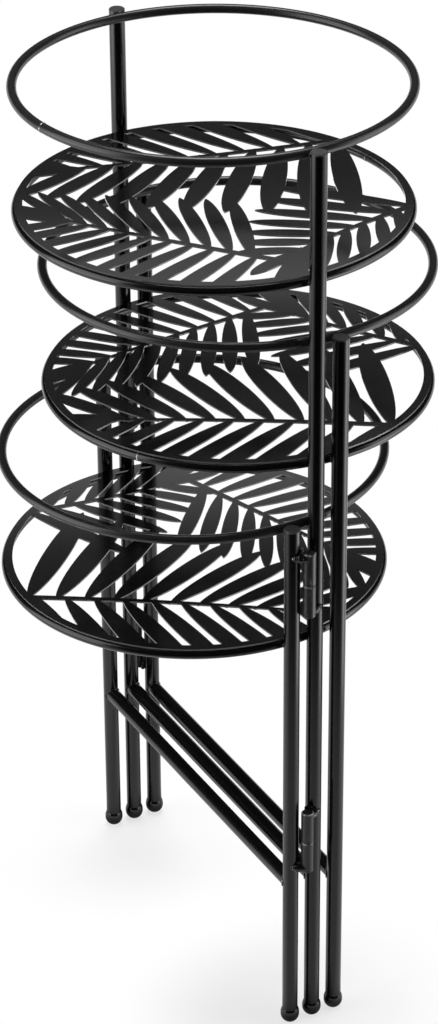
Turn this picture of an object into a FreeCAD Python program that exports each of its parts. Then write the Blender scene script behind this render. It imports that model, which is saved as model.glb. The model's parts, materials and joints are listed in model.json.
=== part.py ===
import FreeCAD
import Part
import math
import os
import Sketcher
from types import SimpleNamespace
from FreeCAD import Vector

# Folding plant stand: three flat frames of black steel tube, hinged in a zig-zag and modelled folded.
# The frames stand side by side along X: the short one at -X, the tall one at 0 and the medium one at +X.
# The origin is on the floor below the middle of the tall frame, +Y points to the rear posts and +Z is up.

# Driving sizes in millimetres.
SIZES = {
    # tubes, ring wire and the way the frames are laid out
    "post_diameter": 10.0,
    "tube_wall": 1.0,
    "crossbar_diameter": 9.6,
    "wire_diameter": 6.0,
    "ring_diameter": 239.0,  # centre line of the wire
    "frame_spacing": 16.0,  # from one frame's plane to the next, folded
    # heights of centre lines
    "short_shelf_height": 283.0,
    "tier_step": 120.0,
    "guard_rise": 80.0,  # shelf ring to guard ring
    "post_rise": 2.0,  # guard ring to the end of the tube
    "crossbar_height": 109.0,
    "crossbar_drop": 4.5,  # of the medium frame's bar, below the other two
    # ball feet, pushed over the lower tube ends
    "foot_wall": 1.0,
    "foot_height": 10.6,
    "foot_sole": 4.0,  # under the end of the tube
    "foot_flat": 2.5,  # diameter that stands on the floor
    "foot_dome": 6.0,  # height of the rounded underside
    "foot_shoulder": 3.6,  # height of the rounded upper part
    "foot_lip": 0.1,  # wall that is left at the mouth
    "foot_clearance": 0.05,
    # caps, plugged into the upper tube ends
    "cap_height": 1.2,
    "cap_bevel": 0.5,
    "cap_plug_length": 8.0,
    "cap_clearance": 0.05,
    # leaf panels, lying on the shelf rings
    "panel_thickness": 1.0,
    "panel_overhang": 1.0,  # past the centre line of the ring
    "panel_rim": 5.0,
    "midrib_width": 4.4,
    "smallest_opening": 1.5,  # narrower cut-outs are left closed
    # hinges
    "hinge_reach": 7.0,  # axis beyond the line of the posts
    "lower_hinge_rise": 33.0,  # parting line above the cross bar
    "upper_hinge_drop": 34.0,  # parting line below the short frame's guard ring
    "barrel_diameter": 8.0,
    "barrel_length": 22.0,
    "barrel_bevel": 0.7,
    "barrel_gap": 0.3,
    "lug_width": 5.0,
    "lug_height": 7.0,
    "pin_diameter": 4.0,
    "pin_length": 28.0,
    "pin_clearance": 0.05,
    "pin_end_gap": 0.5,
}

WELD_SHARE = 0.8  # of the wire's diameter, for the weld that joins a ring to a post
RIB_TIP_SHARE = 0.5  # width of a midrib at its tip, of its width at the base
LEAF_NEAR_SHARE = 0.20  # of a leaflet's length, to the pole that spreads its edge near the midrib
LEAF_FAR_SHARE = 0.88  # of a leaflet's length, to the pole that spreads its edge near the tip
BULGE_SHARE = 0.75  # how far an edge bulges towards its two poles

# Palm fronds of a leaf panel. Points, lengths and widths are shares of the panel's radius, from its centre;
# places are shares of the midrib. Pairs give the first and the last leaflet of a side, and angles are in
# degrees from the midrib. The end leaflet continues the midrib.
FRONDS = (
    dict(
        base_shares=(0.95, 0.35), tip_shares=(-0.45, 0.685), bow_share=0.02,
        left_leaflets=10, left_place_shares=(0.03, 0.96), left_angles=(77.0, 36.0),
        left_length_shares=(0.94, 0.54), left_width_shares=(0.135, 0.09),
        right_leaflets=10, right_place_shares=(0.06, 1.0), right_angles=(64.0, 40.0),
        right_length_shares=(1.0, 0.62), right_width_shares=(0.115, 0.08),
        end_length_share=0.42, end_width_share=0.12,
    ),
    dict(
        base_shares=(-0.04, -0.80), tip_shares=(-0.77, 0.14), bow_share=0.01,
        left_leaflets=10, left_place_shares=(0.12, 0.97), left_angles=(83.0, 45.0),
        left_length_shares=(0.68, 0.42), left_width_shares=(0.085, 0.07),
        right_leaflets=10, right_place_shares=(0.14, 0.99), right_angles=(59.0, 28.0),
        right_length_shares=(0.68, 0.48), right_width_shares=(0.088, 0.065),
        end_length_share=0.45, end_width_share=0.13,
    ),
    dict(
        base_shares=(0.88, -0.53), tip_shares=(0.03, -0.75), bow_share=-0.02,
        left_leaflets=8, left_place_shares=(0.04, 0.94), left_angles=(62.0, 26.0),
        left_length_shares=(0.36, 0.50), left_width_shares=(0.075, 0.07),
        right_leaflets=7, right_place_shares=(0.06, 0.92), right_angles=(57.0, 42.0),
        right_length_shares=(0.76, 0.34), right_width_shares=(0.09, 0.07),
        end_length_share=0.34, end_width_share=0.08,
    ),
)

# Planes are shares of the frame spacing, tiers of the tier step and bar drops of the cross bar's drop.
FRAMES = (
    dict(
        name="short", plane_share=-1, tier_share=0, bar_drop_share=0,
        panel_turn_degrees=159.5, mirrored=False,
    ),
    dict(
        name="medium", plane_share=1, tier_share=1, bar_drop_share=1,
        panel_turn_degrees=135.5, mirrored=True,
    ),
    dict(
        name="tall", plane_share=0, tier_share=2, bar_drop_share=0,
        panel_turn_degrees=0.0, mirrored=False,
    ),
)
ENDS = (("front", -1), ("rear", 1))
CUTS = ("PartDesign::Pocket", "PartDesign::Groove")
UP = Vector(0, 0, 1)


class Size:
    """A length as the formula that ties it to the sheet, with its present value."""

    def __init__(self, formula, value):
        self.formula = formula
        self.value = value

    def join(self, sign, other, value):
        return Size(f"({self.formula} {sign} {other.formula})", value)

    def __add__(self, other):
        other = as_size(other)
        return self.join("+", other, self.value + other.value)

    def __sub__(self, other):
        other = as_size(other)
        return self.join("-", other, self.value - other.value)

    def __mul__(self, other):
        other = as_size(other)
        return self.join("*", other, self.value * other.value)

    def __truediv__(self, other):
        other = as_size(other)
        return self.join("/", other, self.value / other.value)

    def __neg__(self):
        return self * -1

    __rmul__ = __mul__


def as_size(item):
    if isinstance(item, Size):
        return item
    return Size(f"({item})", item)


def hypotenuse(across, along):
    formula = f"hypot({across.formula}; {along.formula})"
    return Size(formula, math.hypot(across.value, along.value))


def bearing(across, along):
    formula = f"atan2({along.formula}; {across.formula})"
    return Size(formula, math.degrees(math.atan2(along.value, across.value)))


doc = FreeCAD.newDocument("plant_stand")
sheet = doc.addObject("Spreadsheet::Sheet", "Sizes")
for row, (alias, length) in enumerate(SIZES.items(), start=1):
    sheet.set(f"A{row}", alias)
    sheet.set(f"B{row}", str(length))
    sheet.setAlias(f"B{row}", alias)
doc.recompute()

size = SimpleNamespace(**{alias: Size(f"Sizes.{alias}", sheet.get(alias)) for alias in SIZES})
zero = as_size(0)
post_radius = size.post_diameter / 2
half_span = (size.ring_diameter + size.wire_diameter + size.post_diameter) / 2
hinge_line = half_span + size.hinge_reach
lower_hinge_height = size.crossbar_height + size.lower_hinge_rise
upper_hinge_height = size.short_shelf_height + size.guard_rise - size.upper_hinge_drop
parts = []


def shelf_height(tier):
    return size.short_shelf_height + tier * size.tier_step


def tube_end(tier):
    return shelf_height(tier) + size.guard_rise + size.post_rise


# Helpers that bind objects to the sheet.

def bind(obj, **lengths):
    for name, length in lengths.items():
        obj.setExpression(name, length.formula)
    return obj


def place(obj, across, along, up):
    for axis, length in zip("xyz", (across, along, up)):
        obj.setExpression(f"Placement.Base.{axis}", as_size(length).formula)
    return obj


def finish(obj, label):
    obj.Label = label
    parts.append(obj)


def cylinder(name, radius, height):
    return bind(doc.addObject("Part::Cylinder", name), Radius=radius, Height=height)


def cut(name, base, tool):
    result = doc.addObject("Part::Cut", name)
    result.Base = base
    result.Tool = tool
    return result


def fuse(name, shapes):
    result = doc.addObject("Part::MultiFuse", name)
    result.Shapes = shapes
    return result


def sketch_on(body, role, name, up=zero):
    sketch = body.newObject("Sketcher::SketchObject", name)
    plane = next(item for item in body.Origin.OriginFeatures if item.Role == role)
    sketch.AttachmentSupport = [(plane, "")]
    sketch.MapMode = "FlatFace"
    sketch.setExpression("AttachmentOffset.Base.z", up.formula)
    return sketch


def hold_point(sketch, curve, vertex, across, along):
    for kind, axis, length in (("DistanceX", -2, across), ("DistanceY", -1, along)):
        if length.value == 0:
            sketch.addConstraint(Sketcher.Constraint("PointOnObject", curve, vertex, axis))
            continue
        ends = (-1, 1, curve, vertex) if length.value > 0 else (curve, vertex, -1, 1)
        distance = length if length.value > 0 else -length
        number = sketch.addConstraint(Sketcher.Constraint(kind, *ends, distance.value))
        sketch.setExpression(f"Constraints[{number}]", distance.formula)


def add_circle(sketch, radius, across=zero, along=zero):
    middle = Vector(across.value, along.value, 0)
    curve = sketch.addGeometry(Part.Circle(middle, UP, radius.value))
    number = sketch.addConstraint(Sketcher.Constraint("Radius", curve, radius.value))
    sketch.setExpression(f"Constraints[{number}]", radius.formula)
    hold_point(sketch, curve, 3, across, along)


def add_outline(sketch, corners):
    points = [Vector(across.value, along.value, 0) for across, along in corners]
    lines = []
    for start, end in zip(points, points[1:] + points[:1]):
        lines.append(sketch.addGeometry(Part.LineSegment(start, end)))
    for line, following, corner in zip(lines, lines[1:] + lines[:1], corners):
        sketch.addConstraint(Sketcher.Constraint("Coincident", line, 2, following, 1))
        hold_point(sketch, line, 1, *corner)


def extrude(body, kind, name, sketch, length, downward):
    feature = body.newObject(kind, name)
    feature.Profile = sketch
    feature.Reversed = downward
    feature.setExpression("Length", length.formula)
    sketch.Visibility = False


def revolve(body, kind, name, sketch):
    feature = body.newObject(kind, name)
    feature.Profile = sketch
    feature.ReferenceAxis = (sketch, ["V_Axis"])
    sketch.Visibility = False


# Tube frame: posts, feet, caps and cross bar.

def make_post(label, across, along, tier):
    body = doc.addObject("PartDesign::Body", label)
    section = sketch_on(body, "XY_Plane", f"{label}_section")
    add_circle(section, post_radius)
    add_circle(section, post_radius - size.tube_wall)
    extrude(body, "PartDesign::Pad", f"{label}_tube", section, tube_end(tier) - size.foot_sole, False)
    finish(place(body, across, along, size.foot_sole), label)


def make_foot(label, across, along):
    body = doc.addObject("PartDesign::Body", label)
    profile = sketch_on(body, "XZ_Plane", f"{label}_profile")
    mouth = post_radius + size.foot_clearance
    outside = mouth + size.foot_wall
    add_outline(profile, (
        (zero, zero),
        (outside, zero),
        (outside, size.foot_height),
        (mouth, size.foot_height),
        (mouth, size.foot_sole),
        (zero, size.foot_sole),
    ))
    revolve(body, "PartDesign::Revolution", f"{label}_cup", profile)
    rounding = sketch_on(body, "XZ_Plane", f"{label}_rounding")
    add_round_cut(rounding, size.foot_flat / 2, outside, zero, size.foot_dome)
    add_round_cut(rounding, mouth + size.foot_lip, outside, size.foot_height, -size.foot_shoulder)
    revolve(body, "PartDesign::Groove", f"{label}_round", rounding)
    finish(place(body, across, along, zero), label)


def add_round_cut(sketch, inside, outside, level, rise):
    # The corner outside a rounding: out along a level, along the side and back on an arc tangent to the side.
    run = outside.value - inside.value
    radius = (run ** 2 + rise.value ** 2) / (2 * run)
    centre = Vector(outside.value - radius, level.value + rise.value, 0)
    sag = math.atan2(-rise.value, inside.value - centre.x)
    start = Vector(inside.value, level.value, 0)
    corner = Vector(outside.value, level.value, 0)
    side_end = Vector(outside.value, level.value + rise.value, 0)
    arc = sketch.addGeometry(Part.ArcOfCircle(Part.Circle(centre, UP, radius), min(sag, 0), max(sag, 0)))
    arc_start, arc_end = (1, 2) if sag < 0 else (2, 1)
    out = sketch.addGeometry(Part.LineSegment(start, corner))
    side = sketch.addGeometry(Part.LineSegment(corner, side_end))
    sketch.addConstraint(Sketcher.Constraint("Coincident", arc, arc_start, out, 1))
    sketch.addConstraint(Sketcher.Constraint("Coincident", out, 2, side, 1))
    sketch.addConstraint(Sketcher.Constraint("Tangent", side, 2, arc, arc_end))
    hold_point(sketch, out, 1, inside, level)
    hold_point(sketch, out, 2, outside, level)
    hold_point(sketch, side, 2, outside, level + rise)


def make_cap(label, across, along, tier):
    body = doc.addObject("PartDesign::Body", label)
    profile = sketch_on(body, "XZ_Plane", f"{label}_profile")
    plug = post_radius - size.tube_wall - size.cap_clearance
    add_outline(profile, (
        (zero, -size.cap_plug_length),
        (plug, -size.cap_plug_length),
        (plug, zero),
        (post_radius, zero),
        (post_radius, size.cap_height - size.cap_bevel),
        (post_radius - size.cap_bevel, size.cap_height),
        (zero, size.cap_height),
    ))
    revolve(body, "PartDesign::Revolution", f"{label}_plug", profile)
    finish(place(body, across, along, tube_end(tier)), label)


def make_post_cores(frame, across, tier):
    # What the two posts and their caps take up, cut out of every piece that is welded to them.
    cores = []
    for end, sign in ENDS:
        core = cylinder(f"{frame}_{end}_core", post_radius, tube_end(tier) + size.cap_height)
        cores.append(place(core, across, sign * half_span, zero))
    return fuse(f"{frame}_post_cores", cores)


def lay_along_y(obj):
    obj.Placement = FreeCAD.Placement(Vector(), FreeCAD.Rotation(UP, Vector(0, 1, 0)))
    return obj


def make_crossbar(label, across, height, cores):
    radius = size.crossbar_diameter / 2
    outside = lay_along_y(cylinder(f"{label}_outside", radius, 2 * half_span))
    inside = lay_along_y(cylinder(f"{label}_inside", radius - size.tube_wall, 2 * half_span))
    for tube in (outside, inside):
        place(tube, across, -half_span, height)
    finish(cut(label, cut(f"{label}_tube", outside, inside), cores), label)


# Rings and leaf panels.

def make_ring(label, across, height, cores):
    wire = doc.addObject("Part::Torus", f"{label}_wire")
    bind(wire, Radius1=size.ring_diameter / 2, Radius2=size.wire_diameter / 2)
    shapes = [place(wire, across, zero, height)]
    reach = half_span - size.ring_diameter / 2
    for end, sign in ENDS:
        weld = lay_along_y(cylinder(f"{label}_{end}_weld", WELD_SHARE * size.wire_diameter / 2, reach))
        start = size.ring_diameter / 2 if sign > 0 else -half_span
        shapes.append(place(weld, across, start, height))
    finish(cut(label, fuse(f"{label}_welded", shapes), cores), label)


def face_between(curves):
    return Part.Face(Part.Wire([curve.toShape() for curve in curves]))


def leaflet(start, angle, length, width):
    # A blade between two edges that leave the start, keep nearly the same distance and meet in the tip.
    heading = Vector(math.cos(angle), math.sin(angle), 0)
    bulge = UP.cross(heading) * (width / 2 / BULGE_SHARE)
    near = start + heading * length * LEAF_NEAR_SHARE
    far = start + heading * length * LEAF_FAR_SHARE
    tip = start + heading * length
    right, left = Part.BezierCurve(), Part.BezierCurve()
    right.setPoles([start, near - bulge, far - bulge, tip])
    left.setPoles([tip, far + bulge, near + bulge, start])
    return face_between((right, left))


def midrib(line, width):
    # A band along the frond's line that narrows to its tip.
    left, right = [], []
    for share in (0, 0.5, 1):
        along = between((line.FirstParameter, line.LastParameter), share)
        half = width / 2 * (1 - share * (1 - RIB_TIP_SHARE))
        side = UP.cross(line.tangent(along)[0]) * half
        left.append(line.value(along) + side)
        right.append(line.value(along) - side)
    return face_between((
        Part.Arc(*right),
        Part.LineSegment(right[2], left[2]),
        Part.Arc(*reversed(left)),
        Part.LineSegment(left[0], right[0]),
    ))


def between(pair, share):
    return pair[0] + share * (pair[1] - pair[0])


def frond_faces(frond, radius, rib_width):
    base = Vector(*frond["base_shares"]) * radius
    tip = Vector(*frond["tip_shares"]) * radius
    bow = UP.cross(tip - base).normalize() * frond["bow_share"] * radius
    line = Part.Arc(base, (base + tip) / 2 + bow, tip)
    faces = [midrib(line, rib_width)]
    for side, sign in (("left", 1), ("right", -1)):
        count = frond[f"{side}_leaflets"]
        for share in [number / (count - 1) for number in range(count)]:
            place_share = between(frond[f"{side}_place_shares"], share)
            along = between((line.FirstParameter, line.LastParameter), place_share)
            turn = math.radians(between(frond[f"{side}_angles"], share))
            angle = bearing_of(line.tangent(along)[0]) + sign * turn
            length = between(frond[f"{side}_length_shares"], share) * radius
            width = between(frond[f"{side}_width_shares"], share) * radius
            # The leaflet starts on the far edge of the midrib, so that its neck isn't a point.
            back = Vector(math.cos(angle), math.sin(angle), 0) * (rib_width / 2 / math.sin(turn))
            faces.append(leaflet(line.value(along) - back, angle, length, width))
    heading = line.tangent(line.LastParameter)[0]
    length, width = frond["end_length_share"] * radius, frond["end_width_share"] * radius
    faces.append(leaflet(tip - heading * rib_width, bearing_of(heading), length, width))
    return faces


def bearing_of(heading):
    return math.atan2(heading.y, heading.x)


def disc(radius):
    return Part.Face(Part.Wire(Part.Circle(Vector(), UP, radius).toShape()))


def leaf_sheet():
    radius = size.ring_diameter.value / 2 + size.panel_overhang.value
    rim = size.panel_rim.value
    leaves = [face for frond in FRONDS for face in frond_faces(frond, radius, size.midrib_width.value)]
    inside = disc(radius - rim / 2)
    clipped = [piece for leaf in leaves for piece in leaf.common(inside).Faces]
    ring = disc(radius).cut(disc(radius - rim)).Faces[0]
    sheet_face = ring.multiFuse(clipped).removeSplitter().Faces[0]
    # Pinholes and slits where leaflets cross stay closed.
    holes = [wire for wire in sheet_face.Wires if not wire.isSame(sheet_face.OuterWire)]
    open_holes = [wire for wire in holes if is_open(wire)]
    return Part.Face([sheet_face.OuterWire] + open_holes)


def is_open(wire):
    # Four times the area over the perimeter is the diameter of a round hole and twice the width of a slit.
    return 4 * Part.Face(wire).Area / wire.Length > size.smallest_opening.value


def make_panel(label, sheet_face, across, tier, turn, mirrored):
    if mirrored:
        sheet_face = sheet_face.mirror(Vector(), Vector(1, 0, 0))
    panel = doc.addObject("Part::Feature", label)
    panel.Shape = sheet_face.extrude(UP * size.panel_thickness.value)
    panel.Placement = FreeCAD.Placement(Vector(), FreeCAD.Rotation(UP, turn))
    finish(place(panel, across, zero, shelf_height(tier) + size.wire_diameter / 2), label)


# Hinges.

def make_barrel(label, axis, joint_height, upward, post, bore_radius):
    # A barrel stands on the parting line with a lug at its far end that is welded to the post.
    # The body's X axis points from the hinge axis to the axis of the post.
    body = doc.addObject("PartDesign::Body", label)
    way = 1 if upward else -1
    post_distance = hypotenuse(*post)
    radius = size.barrel_diameter / 2
    round_sketch = sketch_on(body, "XY_Plane", f"{label}_round")
    add_circle(round_sketch, radius)
    extrude(body, "PartDesign::Pad", f"{label}_barrel", round_sketch, size.barrel_length, not upward)
    bevels = sketch_on(body, "XZ_Plane", f"{label}_bevels")
    inward = way * size.barrel_bevel
    for end, edge in ((zero, inward), (way * size.barrel_length, way * size.barrel_length - inward)):
        add_outline(bevels, ((radius - size.barrel_bevel, end), (radius, end), (radius, edge)))
    revolve(body, "PartDesign::Groove", f"{label}_bevel_cut", bevels)
    lug = sketch_on(body, "XY_Plane", f"{label}_lug", way * (size.barrel_length - size.lug_height))
    add_outline(lug, (
        (zero, -size.lug_width / 2),
        (post_distance, -size.lug_width / 2),
        (post_distance, size.lug_width / 2),
        (zero, size.lug_width / 2),
    ))
    extrude(body, "PartDesign::Pad", f"{label}_lug_pad", lug, size.lug_height, not upward)
    saddle = sketch_on(body, "XY_Plane", f"{label}_saddle")
    add_circle(saddle, post_radius, post_distance)
    extrude(body, "PartDesign::Pocket", f"{label}_saddle_cut", saddle, size.barrel_length, upward)
    bore = sketch_on(body, "XY_Plane", f"{label}_bore")
    add_circle(bore, bore_radius)
    depth = (size.pin_length - size.barrel_gap) / 2 + size.pin_end_gap
    extrude(body, "PartDesign::Pocket", f"{label}_bore_cut", bore, depth, upward)
    body.setExpression("Placement.Rotation.Angle", bearing(*post).formula)
    finish(place(body, *axis, joint_height + way * size.barrel_gap / 2), label)


def make_hinge(label, axis, joint_height, tall_post, other_post, tall_on_top):
    # The pin is pressed into the tall frame's barrel and turns in the other one.
    pin_radius = size.pin_diameter / 2
    tall = (tall_post, pin_radius)
    other = (other_post, pin_radius + size.pin_clearance)
    upper, lower = (tall, other) if tall_on_top else (other, tall)
    make_barrel(f"{label}_upper_barrel", axis, joint_height, True, *upper)
    make_barrel(f"{label}_lower_barrel", axis, joint_height, False, *lower)
    pin = cylinder(f"{label}_pin", pin_radius, size.pin_length)
    finish(place(pin, *axis, joint_height - size.pin_length / 2), f"{label}_pin")


def make_hinges():
    half_gap = size.frame_spacing / 2
    for end, sign in ENDS:
        # The front hinges lie between the short and the tall frame, the rear ones between tall and medium.
        axis = (sign * half_gap, sign * hinge_line)
        tall_post = (-sign * half_gap, -sign * size.hinge_reach)
        other_post = (sign * half_gap, -sign * size.hinge_reach)
        make_hinge(f"{end}_lower_hinge", axis, lower_hinge_height, tall_post, other_post, True)
        make_hinge(f"{end}_upper_hinge", axis, upper_hinge_height, tall_post, other_post, False)


def make_frame(frame, sheet_face):
    name, tier = frame["name"], frame["tier_share"]
    across = frame["plane_share"] * size.frame_spacing
    for end, sign in ENDS:
        along = sign * half_span
        make_post(f"{name}_{end}_post", across, along, tier)
        make_foot(f"{name}_{end}_foot", across, along)
        make_cap(f"{name}_{end}_cap", across, along, tier)
    cores = make_post_cores(name, across, tier)
    bar_height = size.crossbar_height - frame["bar_drop_share"] * size.crossbar_drop
    make_crossbar(f"{name}_crossbar", across, bar_height, cores)
    make_ring(f"{name}_shelf_ring", across, shelf_height(tier), cores)
    make_ring(f"{name}_guard_ring", across, shelf_height(tier) + size.guard_rise, cores)
    turn, mirrored = frame["panel_turn_degrees"], frame["mirrored"]
    make_panel(f"{name}_leaf_panel", sheet_face, across, tier, turn, mirrored)


def check_and_write():
    doc.recompute()
    for obj in doc.Objects:
        if "Invalid" in obj.State or "Error" in obj.State:
            raise RuntimeError(f"{obj.Label} failed: {obj.State}")
        if obj.TypeId in CUTS and obj.Shape.Volume >= obj.BaseFeature.Shape.Volume:
            raise RuntimeError(f"{obj.Label} cuts nothing")
    for part in parts:
        shape = part.Shape
        if shape.isNull() or not shape.isValid() or len(shape.Solids) != 1:
            raise RuntimeError(f"{part.Label} isn't one valid solid")
    os.makedirs("parts", exist_ok=True)
    for part in parts:
        part.Shape.exportStep(f"parts/{part.Label}.step")
        print(f"{part.Label}: {part.Shape.Volume:.1f} mm3")


sheet_face = leaf_sheet()
for frame in FRAMES:
    make_frame(frame, sheet_face)
make_hinges()
check_and_write()
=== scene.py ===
import bpy
import json
import math
from mathutils import Matrix, Vector


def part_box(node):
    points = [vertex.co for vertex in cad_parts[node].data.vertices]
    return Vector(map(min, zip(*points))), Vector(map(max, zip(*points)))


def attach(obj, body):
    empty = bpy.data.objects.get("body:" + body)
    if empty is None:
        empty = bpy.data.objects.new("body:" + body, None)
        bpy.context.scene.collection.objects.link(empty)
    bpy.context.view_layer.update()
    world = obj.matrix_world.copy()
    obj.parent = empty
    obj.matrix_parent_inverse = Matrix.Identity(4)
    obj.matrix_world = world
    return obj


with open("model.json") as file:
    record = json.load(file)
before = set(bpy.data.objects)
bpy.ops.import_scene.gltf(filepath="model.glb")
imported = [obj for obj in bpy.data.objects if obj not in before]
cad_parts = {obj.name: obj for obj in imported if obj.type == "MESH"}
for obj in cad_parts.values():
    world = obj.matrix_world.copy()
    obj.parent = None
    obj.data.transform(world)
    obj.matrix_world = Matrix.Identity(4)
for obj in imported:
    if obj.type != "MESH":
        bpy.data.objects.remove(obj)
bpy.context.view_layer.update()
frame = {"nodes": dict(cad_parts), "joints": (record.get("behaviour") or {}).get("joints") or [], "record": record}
nodes = frame["nodes"]
scene = bpy.context.scene
mm = 0.001
pureWhite = (1.0, 1.0, 1.0, 1.0)


class Value:  # one output socket, so that node maths reads as plain sums
    def __init__(self, sheet, socket):
        self.sheet = sheet
        self.socket = socket

    def __add__(self, other):
        return self.sheet.maths("ADD", self, other)

    def __radd__(self, other):
        return self.sheet.maths("ADD", other, self)

    def __sub__(self, other):
        return self.sheet.maths("SUBTRACT", self, other)

    def __rsub__(self, other):
        return self.sheet.maths("SUBTRACT", other, self)

    def __mul__(self, other):
        return self.sheet.maths("MULTIPLY", self, other)

    def __rmul__(self, other):
        return self.sheet.maths("MULTIPLY", other, self)

    def __truediv__(self, other):
        return self.sheet.maths("DIVIDE", self, other)


# Detail and roughness of each kind of noise.
noiseKinds = {
    "specks": (1.0, 0.5), "grain": (2.0, 0.5), "scuffs": (3.0, 0.6), "clouds": (4.0, 0.6),
}
noiseMiddle = 0.5


class NodeSheet:  # fills one shader or geometry tree
    def __init__(self, tree):
        self.tree = tree
        tree.nodes.clear()

    def node(self, kind, settings=None, sockets=None, output=0):
        made = self.tree.nodes.new(kind)
        for name, setting in (settings or {}).items():
            setattr(made, name, setting)
        for key, given in (sockets or {}).items():
            if isinstance(given, Value):
                self.tree.links.new(given.socket, made.inputs[key])
            else:
                made.inputs[key].default_value = given
        if len(made.outputs) > 0:
            return Value(self, made.outputs[output])
        return None

    def maths(self, operation, first, second=0.0):
        return self.node("ShaderNodeMath", {"operation": operation}, {0: first, 1: second})

    def vectors(self, operation, first, second=(0.0, 0.0, 0.0), output="Vector"):
        return self.node("ShaderNodeVectorMath", {"operation": operation}, {0: first, 1: second}, output)

    def place(self):
        return self.node("ShaderNodeTexCoord", output="Object")

    def heightOf(self, vector):
        return self.node("ShaderNodeSeparateXYZ", {}, {0: vector}, "Z")

    def upward(self):  # 1 on faces that look up, 0 on upright ones, -1 on those that look down
        return self.heightOf(self.node("ShaderNodeNewGeometry", output="Normal"))

    def stretched(self, vector, scale):
        return self.node("ShaderNodeMapping", {}, {"Vector": vector, "Scale": scale})

    def noise(self, vector, scale, kind="grain"):
        detail, roughness = noiseKinds[kind]
        sockets = {"Vector": vector, "Scale": scale, "Detail": detail, "Roughness": roughness}
        return self.node("ShaderNodeTexNoise", {}, sockets)

    def ease(self, value, low, high):  # 0 below low, 1 above high
        sockets = {"Value": value, "From Min": low, "From Max": high}
        return self.node("ShaderNodeMapRange", {"interpolation_type": "SMOOTHSTEP"}, sockets)

    def tint(self, share, first, second):  # colour that goes from first to second
        return self.node("ShaderNodeMix", {"data_type": "RGBA"}, {0: share, 6: first, 7: second}, 2)

    def bump(self, height, strength, depth):
        return self.node("ShaderNodeBump", {}, {"Height": height, "Strength": strength, "Distance": depth})

    def grain(self, vector, look, kind="grain"):  # slight unevenness of a coat or a moulding
        height = self.noise(vector, look["grainScale"], kind)
        return self.bump(height, look["grainStrength"], look["grainDepth"])

    def surface(self, sockets):
        shader = self.node("ShaderNodeBsdfPrincipled", {}, sockets)
        self.node("ShaderNodeOutputMaterial", {}, {"Surface": shader})


def newMaterial(name):
    material = bpy.data.materials.new(name)
    material.use_nodes = True
    return material, NodeSheet(material.node_tree)


coolShare = 1.03  # the blacks and greys lean a little to blue


def grey(level):
    return (level, level, level * coolShare, 1.0)


# Finishes. Scales are in waves per metre.

framePaintLook = {
    "deep": 0.003, "dusty": 0.02, "dustShare": 0.6, "roughness": 0.19, "smudge": 0.08, "dustRough": 0.15,
    "smudgeScale": 24.0, "dustScale": 2600.0, "dustFrom": 0.70, "dustTo": 0.80,
    "grainScale": 620.0, "grainStrength": 0.35, "grainDepth": 0.03 * mm,
}
# A copy of the frame paint, painted lighter for the guard rings: painted light, standing in for the extra light
# they catch that the shelf rings under the sheets don't.
guardPaintedLighterLook = {**framePaintLook, "deep": 0.013, "roughness": 0.28}  # paler and softer


def makeFramePaint(name, look):  # semi-gloss black on posts, cross bars and rings
    material, sheet = newMaterial(name)
    place = sheet.place()
    smudge = sheet.noise(place, look["smudgeScale"], "clouds")
    dust = sheet.ease(sheet.noise(place, look["dustScale"], "specks"), look["dustFrom"], look["dustTo"])
    smudged = look["roughness"] + look["smudge"] * (smudge - noiseMiddle)
    sheet.surface({
        "Base Color": sheet.tint(dust * look["dustShare"], grey(look["deep"]), grey(look["dusty"])),
        "Roughness": smudged + look["dustRough"] * dust,
        "Normal": sheet.grain(place, look, "specks"),
    })
    return material


panelPaintLook = {
    "face": 0.002, "dusty": 0.008, "dustShare": 0.5, "roughness": 0.15, "smudge": 0.04,
    # edge is a painted highlight: pale grey on faces that look sideways, standing in for the light the cut edges
    # catch
    "edge": 0.30, "edgeShare": 0.7, "faceFrom": 0.30, "faceTo": 0.90,  # by how far a face looks up or down
    "smudgeScale": 16.0, "dustScale": 2400.0, "dustFrom": 0.71, "dustTo": 0.80,
    "grainScale": 1500.0, "grainStrength": 0.12, "grainDepth": 0.03 * mm,
}


def makePanelPaint(look):  # satin black on the leaf sheets, with a painted highlight on their upright cut edges
    material, sheet = newMaterial("satin_black_sheet_paint")
    place = sheet.place()
    smudge = sheet.noise(place, look["smudgeScale"], "clouds")
    dust = sheet.ease(sheet.noise(place, look["dustScale"], "specks"), look["dustFrom"], look["dustTo"])
    flat = sheet.ease(sheet.maths("ABSOLUTE", sheet.upward()), look["faceFrom"], look["faceTo"])
    face = sheet.tint(dust * look["dustShare"], grey(look["face"]), grey(look["dusty"]))
    sheet.surface({
        # painted highlight: the upright cut edges are tinted pale grey
        "Base Color": sheet.tint((1.0 - flat) * look["edgeShare"], face, grey(look["edge"])),
        "Roughness": look["roughness"] + look["smudge"] * (smudge - noiseMiddle),
        "Normal": sheet.grain(place, look),
    })
    return material


hingePaintLook = {
    # lipHighlight is a painted highlight: pale grey on the upward-facing end bevels, standing in for the light
    # they catch
    "paint": 0.012, "scuff": 0.11, "lipHighlight": 0.30, "roughness": 0.30, "scuffRough": 0.16,
    "scuffScale": 700.0, "scuffStretch": (1.0, 1.0, 0.35), "scuffFrom": 0.50, "scuffTo": 0.80,
    "lowHingeShare": 0.15,  # of the upper hinges' scuffs
    "lipFrom": 0.40, "lipWhole": 0.60, "lipFade": 0.80, "lipTo": 0.95,  # by how far the bevel looks up
    "lipBreakFrom": 0.30, "lipBreakTo": 0.60,  # where the scuff noise breaks the painted lip highlight up
    "grainScale": 1300.0, "grainStrength": 0.4, "grainDepth": 0.03 * mm,
}


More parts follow.
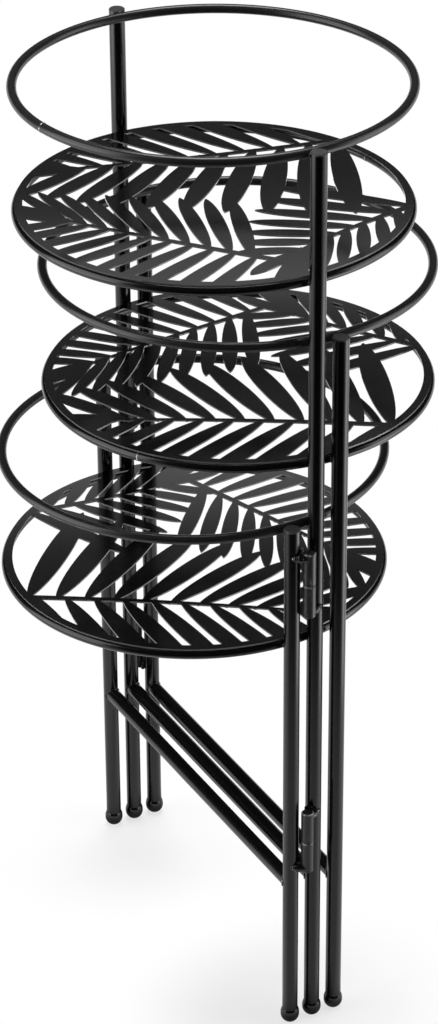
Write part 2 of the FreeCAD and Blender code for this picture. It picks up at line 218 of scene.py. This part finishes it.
def makeHingePaint(look):  # rubbed black on the barrels, with upright scuffs and a painted highlight on the upward-facing bevels at their ends
    material, sheet = newMaterial("rubbed_black_hinge_paint")
    place = sheet.place()
    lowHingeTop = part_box("front_lower_hinge_upper_barrel")[1].z
    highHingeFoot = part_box("front_upper_hinge_lower_barrel")[0].z
    isHigh = sheet.ease(sheet.heightOf(place), lowHingeTop, highHingeFoot)
    rubbed = look["lowHingeShare"] + (1.0 - look["lowHingeShare"]) * isHigh
    drawn = sheet.noise(sheet.stretched(place, look["scuffStretch"]), look["scuffScale"], "scuffs")
    scuff = rubbed * sheet.ease(drawn, look["scuffFrom"], look["scuffTo"])
    upward = sheet.upward()
    # painted highlight on the bevels that look up, broken up by the scuff noise
    bevel = sheet.ease(upward, look["lipFrom"], look["lipWhole"])
    bevel = bevel * (1.0 - sheet.ease(upward, look["lipFade"], look["lipTo"]))
    lipHighlight = bevel * sheet.ease(drawn, look["lipBreakFrom"], look["lipBreakTo"])
    paint = sheet.tint(scuff, grey(look["paint"]), grey(look["scuff"]))
    sheet.surface({
        "Base Color": sheet.tint(lipHighlight, paint, grey(look["lipHighlight"])),
        "Roughness": look["roughness"] + look["scuffRough"] * scuff,
        "Normal": sheet.grain(place, look),
    })
    return material


footPlasticLook = {
    "plastic": 0.005, "grimy": 0.03, "roughness": 0.06, "wornRough": 0.25,
    "soleHeight": 4.0 * mm, "grimeScale": 420.0, "grimeFrom": 0.35, "grimeTo": 0.65,
    "grainScale": 900.0, "grainStrength": 0.2, "grainDepth": 0.01 * mm,
}


def makeFootPlastic(look):  # glossy moulded plastic, dulled where it meets the floor
    material, sheet = newMaterial("glossy_black_foot_plastic")
    place = sheet.place()
    grime = sheet.ease(sheet.noise(place, look["grimeScale"], "scuffs"), look["grimeFrom"], look["grimeTo"])
    worn = (1.0 - sheet.ease(sheet.heightOf(place), 0.0, look["soleHeight"])) * grime
    sheet.surface({
        "Base Color": sheet.tint(worn, grey(look["plastic"]), grey(look["grimy"])),
        "Roughness": look["roughness"] + look["wornRough"] * worn,
        "Normal": sheet.grain(place, look),
    })
    return material


capPlasticLook = {
    "plastic": 0.035, "rubbed": 0.075, "roughness": 0.42, "rubbedGloss": 0.10,
    "rubScale": 1400.0, "rubStretch": (0.15, 1.0, 1.0), "rubFrom": 0.50, "rubTo": 0.72,
    "grainScale": 1800.0, "grainStrength": 0.3, "grainDepth": 0.04 * mm,
}


def makeCapPlastic(look):  # satin plugs with fine rubbing on their tops
    material, sheet = newMaterial("satin_black_cap_plastic")
    place = sheet.place()
    drawn = sheet.noise(sheet.stretched(place, look["rubStretch"]), look["rubScale"], "scuffs")
    rubbed = sheet.ease(drawn, look["rubFrom"], look["rubTo"])
    sheet.surface({
        "Base Color": sheet.tint(rubbed, grey(look["plastic"]), grey(look["rubbed"])),
        "Roughness": look["roughness"] - look["rubbedGloss"] * rubbed,
        "Normal": sheet.grain(place, look),
    })
    return material


pinSteelLook = {
    "steel": (0.52, 0.52, 0.54, 1.0), "dark": (0.30, 0.30, 0.31, 1.0),
    "roughness": 0.30, "turnedRough": 0.15, "turningScale": 3000.0, "turningStretch": (0.02, 0.02, 1.0),
    "turningStrength": 0.3, "turningDepth": 0.01 * mm,
}


def makePinSteel(look):  # turned steel, with rings round the pin
    material, sheet = newMaterial("turned_pin_steel")
    turning = sheet.noise(sheet.stretched(sheet.place(), look["turningStretch"]), look["turningScale"])
    sheet.surface({
        "Base Color": sheet.tint(turning, look["dark"], look["steel"]),
        "Metallic": 1.0,
        "Roughness": look["roughness"] + look["turnedRough"] * turning,
        "Normal": sheet.bump(turning, look["turningStrength"], look["turningDepth"]),
    })
    return material


weldPaintLook = {
    "paint": 0.005, "bare": 0.42, "bareMetal": 0.9, "roughness": 0.24, "bareRough": 0.12,
    "chipScale": 1000.0, "chipFrom": 0.64, "chipTo": 0.69,
    "grainScale": 1500.0, "grainStrength": 0.5, "grainDepth": 0.12 * mm,
}


def makeWeldPaint(look):  # painted bead with a few bright chips
    material, sheet = newMaterial("painted_weld_bead")
    place = sheet.place()
    chip = sheet.ease(sheet.noise(place, look["chipScale"]), look["chipFrom"], look["chipTo"])
    sheet.surface({
        "Base Color": sheet.tint(chip, grey(look["paint"]), grey(look["bare"])),
        "Metallic": chip * look["bareMetal"],
        "Roughness": look["roughness"] + look["bareRough"] * chip,
        "Normal": sheet.grain(place, look),
    })
    return material


seamPaintLook = {
    "paint": 0.008, "bare": 0.55, "bareMetal": 0.3, "roughness": 0.34, "bareGloss": 0.06,
    "chipScale": 700.0, "chipFrom": 0.43, "chipTo": 0.58,
}


def makeSeamPaint(look):  # ground-down joint of a ring, rubbed through to the metal
    material, sheet = newMaterial("rubbed_ring_seam")
    rubbing = sheet.noise(sheet.place(), look["chipScale"], "scuffs")
    chip = sheet.ease(rubbing, look["chipFrom"], look["chipTo"])
    sheet.surface({
        "Base Color": sheet.tint(chip, grey(look["paint"]), grey(look["bare"])),
        "Metallic": chip * look["bareMetal"],
        "Roughness": look["roughness"] - look["bareGloss"] * chip,
    })
    return material


slotFinishes = {
    "frame_paint": makeFramePaint("semigloss_black_paint", framePaintLook),
    "panel_paint": makePanelPaint(panelPaintLook),
    "hinge_paint": makeHingePaint(hingePaintLook),
    "foot_plastic": makeFootPlastic(footPlasticLook),
    "cap_plastic": makeCapPlastic(capPlasticLook),
    "pin_steel": makePinSteel(pinSteelLook),
}
# the frame paint painted lighter, as painted light on the guard rings
guardPaintedLighter = makeFramePaint("satin_black_paint_painted_lighter", guardPaintedLighterLook)
weldPaint = makeWeldPaint(weldPaintLook)
seamPaint = makeSeamPaint(seamPaintLook)


def finishOf(subpart):
    # the guard rings get the copy of the frame paint that is painted lighter to stand in for the light they catch
    if subpart["node"].endswith("_guard_ring"):
        return guardPaintedLighter
    return slotFinishes[subpart["material_slot"]]


for subpart in frame["record"]["subparts"]:
    for materialSlot in nodes[subpart["node"]].material_slots:
        materialSlot.material = finishOf(subpart)
print("finishes:", len(slotFinishes) + 1, "on the CAD nodes, 2 for welds and seams")


# Where things are, read from the frame.

def middle(node):
    low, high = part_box(node)
    return (low + high) / 2


def span(node):
    low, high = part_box(node)
    return high - low


frameNames = ("short", "medium", "tall")
ends = {"front": -1, "rear": 1}  # which way they lie along Y
hingeAxes = {end: Vector(joint["pos_m"]) for end, joint in zip(ends, frame["joints"])}
hingedFrames = {end: joint["child"].split("_")[0] for end, joint in zip(ends, frame["joints"])}
postRadius = span("tall_front_post").x / 2
wireRadius = span("tall_shelf_ring").z / 2
ringRadius = span("tall_shelf_ring").x / 2 - wireRadius
barRadius = span("tall_crossbar").z / 2
barrelRadius = hingeAxes["front"].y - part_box("front_upper_hinge_upper_barrel")[0].y


# Weld beads: each is a line of points with the bead's radius at each point.

class Bead:
    def __init__(self, points, radii, closed):
        self.points = points
        self.radii = radii
        self.closed = closed


def closedBead(points, radius):
    return Bead(points, [radius] * len(points), True)


def openBead(points, radius, endShare=0.45):  # thinner where it starts and stops
    radii = [radius] * len(points)
    radii[0] = radius * endShare
    radii[-1] = radius * endShare
    return Bead(points, radii, False)


def straightBead(first, last, radius, shares):  # one point for each share of the radius
    points = []
    for number in range(len(shares)):
        points.append(first.lerp(last, number / (len(shares) - 1)))
    return Bead(points, [radius * share for share in shares], False)


def anglesRound(count):
    return [2 * math.pi * number / count for number in range(count)]


ringWeld = {"wide": 3.1 * mm, "high": 2.1 * mm, "bead": 0.85 * mm, "points": 20}


def ringToPost(ring, post, side):  # loop in the wedge between the wire and the post it touches
    contact = Vector((middle(post).x, middle(post).y - side * postRadius, middle(ring).z))
    points = []
    for angle in anglesRound(ringWeld["points"]):
        across = ringWeld["wide"] * math.cos(angle)
        up = ringWeld["high"] * math.sin(angle)
        towardsPost = (across ** 2 / (2 * postRadius) - up ** 2 / (2 * wireRadius)) / 2
        points.append(contact + Vector((across, side * towardsPost, up)))
    return closedBead(points, ringWeld["bead"])


barWeld = {
    "bead": 0.8 * mm, "points": 36,  # saddle
    "fillet": 2.3 * mm, "sink": 1.1 * mm, "drop": 7.5 * mm, "filletShares": (0.8, 1.0, 0.92, 0.75, 0.55),
}


def barToPost(bar, post, side):  # saddle round the end of the cross bar and a fillet that runs out below it
    saddle = []
    for angle in anglesRound(barWeld["points"]):
        across = barRadius * math.cos(angle)
        inward = math.sqrt(postRadius ** 2 - across ** 2)
        up = barRadius * math.sin(angle)
        saddle.append(Vector((middle(post).x + across, middle(post).y - side * inward, middle(bar).z + up)))
    under = middle(post) - Vector((0.0, side * (postRadius - barWeld["sink"]), 0.0))
    under.z = middle(bar).z - barRadius + barWeld["sink"]
    below = under - Vector((0.0, 0.0, barWeld["drop"]))
    fillet = straightBead(under, below, barWeld["fillet"], barWeld["filletShares"])
    return [closedBead(saddle, barWeld["bead"]), fillet]


lugWeld = {
    "lugWidth": 5.0 * mm,
    "bead": 1.2 * mm, "length": 6.5 * mm,  # horseshoe round the lug, as shares outward and along the post
    "horseshoeShares": ((1.0, 0.0), (0.0, -0.1), (-1.0, 0.0), (-1.0, 0.5), (-1.0, 1.0)),
    "lump": 2.6 * mm, "level": 3.2 * mm, "sink": 1.5 * mm,  # thick pass on the outer side
    "lumpShares": (0.55, 0.95, 1.1, 0.95, 0.55),
}


def lugToPost(barrel, post, hingeAxis, way, side):  # welds at the far end of a barrel
    towards = Vector((middle(post).x - hingeAxis.x, middle(post).y - hingeAxis.y, 0.0))
    distance = towards.length
    towards.normalize()
    outward = Vector((-towards.y, towards.x, 0.0))
    if outward.y * side < 0:
        outward.negate()
    low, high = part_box(barrel)
    end = Vector((hingeAxis.x, hingeAxis.y, high.z if way > 0 else low.z))
    backwards = Vector((0.0, 0.0, -way))
    halfLug = lugWeld["lugWidth"] / 2
    barrelFace = math.sqrt(barrelRadius ** 2 - halfLug ** 2)
    postFace = distance - math.sqrt(postRadius ** 2 - halfLug ** 2)
    notch = end + towards * (barrelFace + postFace) / 2
    horseshoe = []
    for out, along in lugWeld["horseshoeShares"]:
        horseshoe.append(notch + outward * halfLug * out + backwards * lugWeld["length"] * along)
    start = end + backwards * lugWeld["level"]
    first = start + outward * (barrelRadius - lugWeld["sink"])
    last = start + towards * distance + outward * (postRadius - lugWeld["sink"])
    lump = straightBead(first, last, lugWeld["lump"], lugWeld["lumpShares"])
    return [openBead(horseshoe, lugWeld["bead"]), lump]


def hingeBeads(name):  # welds of the barrels that one frame carries
    beads = []
    for end, side in ends.items():
        # The tall frame carries the upper barrel of a lower hinge and the lower barrel of an upper one.
        for level, tallWay in (("lower", 1), ("upper", -1)):
            for half, way in (("upper", 1), ("lower", -1)):
                owner = "tall" if way == tallWay else hingedFrames[end]
                if owner == name:
                    barrel = f"{end}_{level}_hinge_{half}_barrel"
                    beads.extend(lugToPost(barrel, f"{name}_{end}_post", hingeAxes[end], way, side))
    return beads


tackWeld = {
    "count": 8, "start": 14.0, "spread": 3.2,  # degrees
    "bead": 0.75 * mm, "inset": 1.9 * mm, "drop": 0.66 * mm,
    "alongShares": (-1.0, -0.5, 0.0, 0.5, 1.0),
}


def panelTacks(ring):  # short beads between the wire and the sheet that lies on it
    beads = []
    centre = middle(ring)
    radius = ringRadius - tackWeld["inset"]
    height = centre.z + wireRadius - tackWeld["drop"]
    for number in range(tackWeld["count"]):
        heading = tackWeld["start"] + 360.0 * number / tackWeld["count"]
        points = []
        for share in tackWeld["alongShares"]:
            turn = math.radians(heading + share * tackWeld["spread"])
            points.append(Vector((centre.x + radius * math.cos(turn), radius * math.sin(turn), height)))
        beads.append(openBead(points, tackWeld["bead"]))
    return beads


# Angle of each ring's closing joint, in degrees from +X.
seamAngles = {
    "short_shelf_ring": 20.0, "short_guard_ring": 75.0, "medium_shelf_ring": 212.0,
    "medium_guard_ring": 100.0, "tall_shelf_ring": 9.0, "tall_guard_ring": 187.0,
}
seamWeld = {"bead": 0.95 * mm, "sink": 0.72 * mm, "points": 18, "slant": 0.5 * mm}


def ringSeam(ring):  # thin hoop round the wire
    turn = math.radians(seamAngles[ring])
    outward = Vector((math.cos(turn), math.sin(turn), 0.0))
    along = Vector((-math.sin(turn), math.cos(turn), 0.0))
    up = Vector((0.0, 0.0, 1.0))
    centre = Vector((middle(ring).x, 0.0, middle(ring).z)) + outward * ringRadius
    hoop = wireRadius - seamWeld["sink"]
    points = []
    for angle in anglesRound(seamWeld["points"]):
        offset = (outward * math.cos(angle) + up * math.sin(angle)) * hoop
        points.append(centre + offset + along * seamWeld["slant"] * math.cos(angle))
    return closedBead(points, seamWeld["bead"])


# Inputs of the tree that grows the beads.
weldTreeSizes = {
    "Step": 0.35 * mm, "Ripple pitch": 1.3 * mm, "Ripple depth": 0.08 * mm, "Lumpiness": 0.45, "Seed": 7.0,
}
seamTreeSizes = {
    "Step": 0.4 * mm, "Ripple pitch": 1.1 * mm, "Ripple depth": 0.01 * mm, "Lumpiness": 0.3, "Seed": 3.0,
}
beadShape = {"sides": 10, "lumpScale": 330.0, "lumpDetail": 2.0}


def makeBeadTree():  # lines of points in, rippled beads out
    tree = bpy.data.node_groups.new("weld_bead", "GeometryNodeTree")
    interface = tree.interface
    interface.new_socket("Geometry", in_out="INPUT", socket_type="NodeSocketGeometry")
    for name in weldTreeSizes:
        interface.new_socket(name, in_out="INPUT", socket_type="NodeSocketFloat")
    interface.new_socket("Finish", in_out="INPUT", socket_type="NodeSocketMaterial")
    interface.new_socket("Geometry", in_out="OUTPUT", socket_type="NodeSocketGeometry")
    sheet = NodeSheet(tree)
    given = {}
    for name in ("Geometry", *weldTreeSizes, "Finish"):
        given[name] = sheet.node("NodeGroupInput", output=name)

    lines = sheet.node("GeometryNodeMeshToCurve", {}, {0: given["Geometry"]})
    lines = sheet.node("GeometryNodeResampleCurve", {"mode": "LENGTH"}, {
        "Curve": lines, "Length": given["Step"],
    })
    width = sheet.node("GeometryNodeInputNamedAttribute", {"data_type": "FLOAT"}, {"Name": "bead"})
    along = sheet.node("GeometryNodeSplineParameter", output="Length")
    wave = sheet.maths("SINE", along / given["Ripple pitch"] * (2 * math.pi))
    lumps = sheet.node("ShaderNodeTexNoise", {"noise_dimensions": "4D"}, {
        "Vector": sheet.node("GeometryNodeInputPosition"), "W": given["Seed"],
        "Scale": beadShape["lumpScale"], "Detail": beadShape["lumpDetail"],
    })
    lumpy = width * (1.0 + given["Lumpiness"] * (lumps - noiseMiddle))
    profile = sheet.node("GeometryNodeCurvePrimitiveCircle", {}, {
        "Resolution": beadShape["sides"], "Radius": 1.0,
    })
    beads = sheet.node("GeometryNodeCurveToMesh", {}, {
        "Curve": lines, "Profile Curve": profile, "Scale": lumpy + given["Ripple depth"] * wave,
        "Fill Caps": True,
    })
    beads = sheet.node("GeometryNodeSetShadeSmooth", {}, {"Geometry": beads})
    beads = sheet.node("GeometryNodeRealizeInstances", {}, {"Geometry": beads})
    beads = sheet.node("GeometryNodeSetMaterial", {}, {"Geometry": beads, "Material": given["Finish"]})
    sheet.node("NodeGroupOutput", {}, {"Geometry": beads})
    return tree


def drawBeads(name, beads):  # the bare lines, with each point's bead radius
    points = []
    edges = []
    radii = []
    for bead in beads:
        first = len(points)
        count = len(bead.points)
        points.extend(bead.points)
        radii.extend(bead.radii)
        edges.extend((first + number, first + number + 1) for number in range(count - 1))
        if bead.closed:
            edges.append((first + count - 1, first))
    lines = bpy.data.meshes.new(f"{name}_lines")
    lines.from_pydata(points, edges, [])
    width = lines.attributes.new("bead", "FLOAT", "POINT")
    width.data.foreach_set("value", radii)
    return lines


def growPiece(name, beads, tree, sizes, material):  # runs the tree and keeps a plain mesh
    piece = bpy.data.objects.new(name, drawBeads(name, beads))
    scene.collection.objects.link(piece)
    modifier = piece.modifiers.new("grow", "NODES")
    modifier.node_group = tree
    inputs = dict(sizes, Finish=material)
    for item in tree.interface.items_tree:
        if item.in_out == "INPUT" and item.name in inputs:
            modifier[item.identifier] = inputs[item.name]
    depsgraph = bpy.context.evaluated_depsgraph_get()
    grown = bpy.data.meshes.new_from_object(piece.evaluated_get(depsgraph))
    piece.modifiers.clear()
    piece.data = grown
    grown.name = name
    return piece


beadTree = makeBeadTree()
for name in frameNames:
    body = f"{name}_frame"
    rings = (f"{name}_shelf_ring", f"{name}_guard_ring")
    beads = hingeBeads(name) + panelTacks(f"{name}_shelf_ring")
    for end, side in ends.items():
        post = f"{name}_{end}_post"
        beads.extend(barToPost(f"{name}_crossbar", post, side))
        for ring in rings:
            beads.append(ringToPost(ring, post, side))
    seams = [ringSeam(ring) for ring in rings]
    welds = growPiece(f"{name}_frame_welds", beads, beadTree, weldTreeSizes, weldPaint)
    marks = growPiece(f"{name}_ring_seams", seams, beadTree, seamTreeSizes, seamPaint)
    for piece in (welds, marks):
        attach(piece, body)
    print(f"{body}: {len(beads)} weld beads, {len(seams)} ring seams, {len(welds.data.polygons)} faces")


# Studio: camera, floor, world and lamps.

cameraSet = {
    "place": (-0.8792, -1.6678, 1.3714), "lens": 119.9,
    "heading": -27.85, "pitch": 29.37, "roll": -0.39,  # degrees
}
heading = math.radians(cameraSet["heading"])
towardsCamera = Vector((math.sin(heading), -math.cos(heading), 0.0))
towardsRight = Vector((math.cos(heading), math.sin(heading), 0.0))


def makeCamera():
    data = bpy.data.cameras.new("photo_camera")
    data.lens = cameraSet["lens"]
    camera = bpy.data.objects.new("photo_camera", data)
    tilt = Matrix.Rotation(math.radians(90.0 - cameraSet["pitch"]), 4, "X")
    roll = Matrix.Rotation(math.radians(cameraSet["roll"]), 4, "Z")
    turn = Matrix.Rotation(heading, 4, "Z")
    camera.matrix_world = Matrix.Translation(cameraSet["place"]) @ turn @ tilt @ roll
    scene.collection.objects.link(camera)
    scene.camera = camera


floorSet = {
    "radius": 40.0, "sides": 96, "drop": 0.2 * mm, "colour": 0.93,
    # its own light close to a foot, and the distances over which that grows to the whole
    "glow": 0.70, "shadowFrom": 0.035, "shadowTo": 0.12,
    # how the paint mirrors it on the camera's side of the stand, and how far that side reaches
    "mirrorNear": 0.61, "mirrorFrom": 0.30, "mirrorTo": 0.75,
    "turnFrom": -0.30, "turnTo": 0.15, "sideFrom": 0.60, "sideTo": 0.97,
    # how the paint mirrors it close to a foot
    "footShade": 0.20, "footFrom": 0.004, "footTo": 0.035,
}


def rayIs(sheet, kind):
    return sheet.node("ShaderNodeLightPath", output=f"Is {kind} Ray")


def footDistance(sheet, place):  # from a place on the floor to the nearest foot
    nearest = None
    for name in frameNames:
        for end in ends:
            foot = middle(f"{name}_{end}_foot")
            apart = sheet.vectors("DISTANCE", place, (foot.x, foot.y, 0.0), "Value")
            nearest = apart if nearest is None else sheet.maths("MINIMUM", nearest, apart)
    return nearest


def cameraSide(sheet, place):  # 1 on the floor in front of the stand, 0 behind and far to its sides
    frontFoot = middle("tall_front_foot")
    facing = sheet.vectors("DOT_PRODUCT", place, towardsCamera, "Value")
    facing = sheet.ease(facing, floorSet["turnFrom"], floorSet["turnTo"])
    fromFoot = sheet.vectors("SUBTRACT", place, (frontFoot.x, frontFoot.y, 0.0))
    fromFoot = sheet.vectors("NORMALIZE", fromFoot)
    sideways = sheet.maths("ABSOLUTE", sheet.vectors("DOT_PRODUCT", fromFoot, towardsRight, "Value"))
    return facing * (1.0 - sheet.ease(sideways, floorSet["sideFrom"], floorSet["sideTo"]))


def makeFloorPaint():  # white with a faint shadow; the paint mirrors its front as darker further away
    material, sheet = newMaterial("white_studio_floor")
    place = sheet.place()
    apart = footDistance(sheet, place)
    matte = sheet.node("ShaderNodeBsdfDiffuse", {}, {"Color": grey(floorSet["colour"])})
    light = sheet.node("ShaderNodeEmission", {}, {"Color": pureWhite, "Strength": 1.0})

    away = sheet.ease(apart, floorSet["shadowFrom"], floorSet["shadowTo"])
    lit = rayIs(sheet, "Camera") * (floorSet["glow"] + (1.0 - floorSet["glow"]) * away)
    shown = sheet.node("ShaderNodeMixShader", {}, {0: lit, 1: matte, 2: light})

    distance = sheet.vectors("LENGTH", place, output="Value")
    beyond = sheet.ease(distance, floorSet["mirrorFrom"], floorSet["mirrorTo"])
    level = 1.0 - cameraSide(sheet, place) * (1.0 - floorSet["mirrorNear"] * (1.0 - beyond))
    clear = sheet.ease(apart, floorSet["footFrom"], floorSet["footTo"])
    level = level * (floorSet["footShade"] + (1.0 - floorSet["footShade"]) * clear)
    mirrored = sheet.node("ShaderNodeMixShader", {}, {0: level, 2: light})

    surface = sheet.node("ShaderNodeMixShader", {}, {0: rayIs(sheet, "Glossy"), 1: shown, 2: mirrored})
    sheet.node("ShaderNodeOutputMaterial", {}, {"Surface": surface})
    return material


def makeFloor():
    rim = []
    for angle in anglesRound(floorSet["sides"]):
        across = floorSet["radius"] * math.cos(angle)
        along = floorSet["radius"] * math.sin(angle)
        rim.append((across, along, -floorSet["drop"]))
    mesh = bpy.data.meshes.new("studio_floor")
    mesh.from_pydata(rim, [], [range(len(rim))])
    mesh.materials.append(makeFloorPaint())
    floor = bpy.data.objects.new("studio_floor", mesh)
    scene.collection.objects.link(floor)


worldSet = {"dim": 0.025}


def makeWorld():  # white to the camera, dim to the paint, so that it mirrors the lamps and the floor
    world = bpy.data.worlds.new("studio_world")
    world.use_nodes = True
    sheet = NodeSheet(world.node_tree)
    shade = sheet.tint(rayIs(sheet, "Camera"), grey(worldSet["dim"]), pureWhite)
    sky = sheet.node("ShaderNodeBackground", {}, {"Color": shade, "Strength": 1.0})
    sheet.node("ShaderNodeOutputWorld", {}, {"Surface": sky})
    scene.world = world


# Places are to the camera's right, towards the camera and up, in metres. A lamp with no aim looks level.
# The side softboxes leave out the leaf panels, which would mirror them as white.
# The back cards light the panels alone.
lampSets = {
    "overhead_softbox": {
        "side": 0.0, "front": -0.75, "height": 2.57, "aim": 0.30,
        "wide": 1.1, "high": 1.1, "power": 30.0,
    },
    "left_softbox": {
        "side": -1.26, "front": 0.34, "height": 1.0,
        "wide": 1.2, "high": 1.9, "power": 18.6, "panels": "EXCLUDE",
    },
    "right_softbox": {
        "side": 1.2, "front": 0.0, "height": 0.65,
        "wide": 0.64, "high": 1.1, "power": 4.4, "panels": "EXCLUDE",
    },
    "right_strip": {
        "side": 0.45, "front": 0.13, "height": 0.18,
        "wide": 0.26, "high": 0.34, "power": 0.65,
    },
    "low_back_card": {
        "side": 0.0, "front": -1.0, "height": 0.41,
        "wide": 1.4, "high": 0.82, "power": 3.4, "panels": "INCLUDE",
    },
    "high_back_card": {
        "side": 0.0, "front": -1.0, "height": 1.40,
        "wide": 1.4, "high": 0.76, "power": 2.4, "panels": "INCLUDE",
    },
    "floor_fill": {
        "side": 0.2, "front": -0.3, "height": 2.6, "aim": 0.30,
        "wide": 1.5, "high": 1.5, "power": 34.0, "mirrored": False,
    },
}


def linkPanels(state):  # leaf panels that a lamp leaves out, or lights alone
    panels = bpy.data.collections.new(f"{state.lower()}d_panels")
    for name in frameNames:
        panels.objects.link(nodes[f"{name}_leaf_panel"])
    for item in panels.collection_objects:
        item.light_linking.link_state = state
    return panels


panelLinks = {state: linkPanels(state) for state in ("EXCLUDE", "INCLUDE")}


def makeLamp(name, given):
    data = bpy.data.lights.new(name, "AREA")
    data.shape = "RECTANGLE"
    data.size = given["wide"]
    data.size_y = given["high"]
    data.energy = given["power"]
    lamp = bpy.data.objects.new(name, data)
    place = towardsRight * given["side"] + towardsCamera * given["front"]
    place.z = given["height"]
    aim = Vector((0.0, 0.0, given.get("aim", given["height"])))
    lamp.location = place
    lamp.rotation_mode = "QUATERNION"
    lamp.rotation_quaternion = (aim - place).to_track_quat("-Z", "Y")
    lamp.visible_camera = False
    lamp.visible_glossy = given.get("mirrored", True)
    scene.collection.objects.link(lamp)
    if "panels" in given:
        lamp.light_linking.receiver_collection = panelLinks[given["panels"]]


makeCamera()
makeFloor()
makeWorld()
for name, given in lampSets.items():
    makeLamp(name, given)
scene.view_settings.view_transform = "Standard"
print("studio:", len(lampSets), "lamps, camera lens", cameraSet["lens"], "mm")
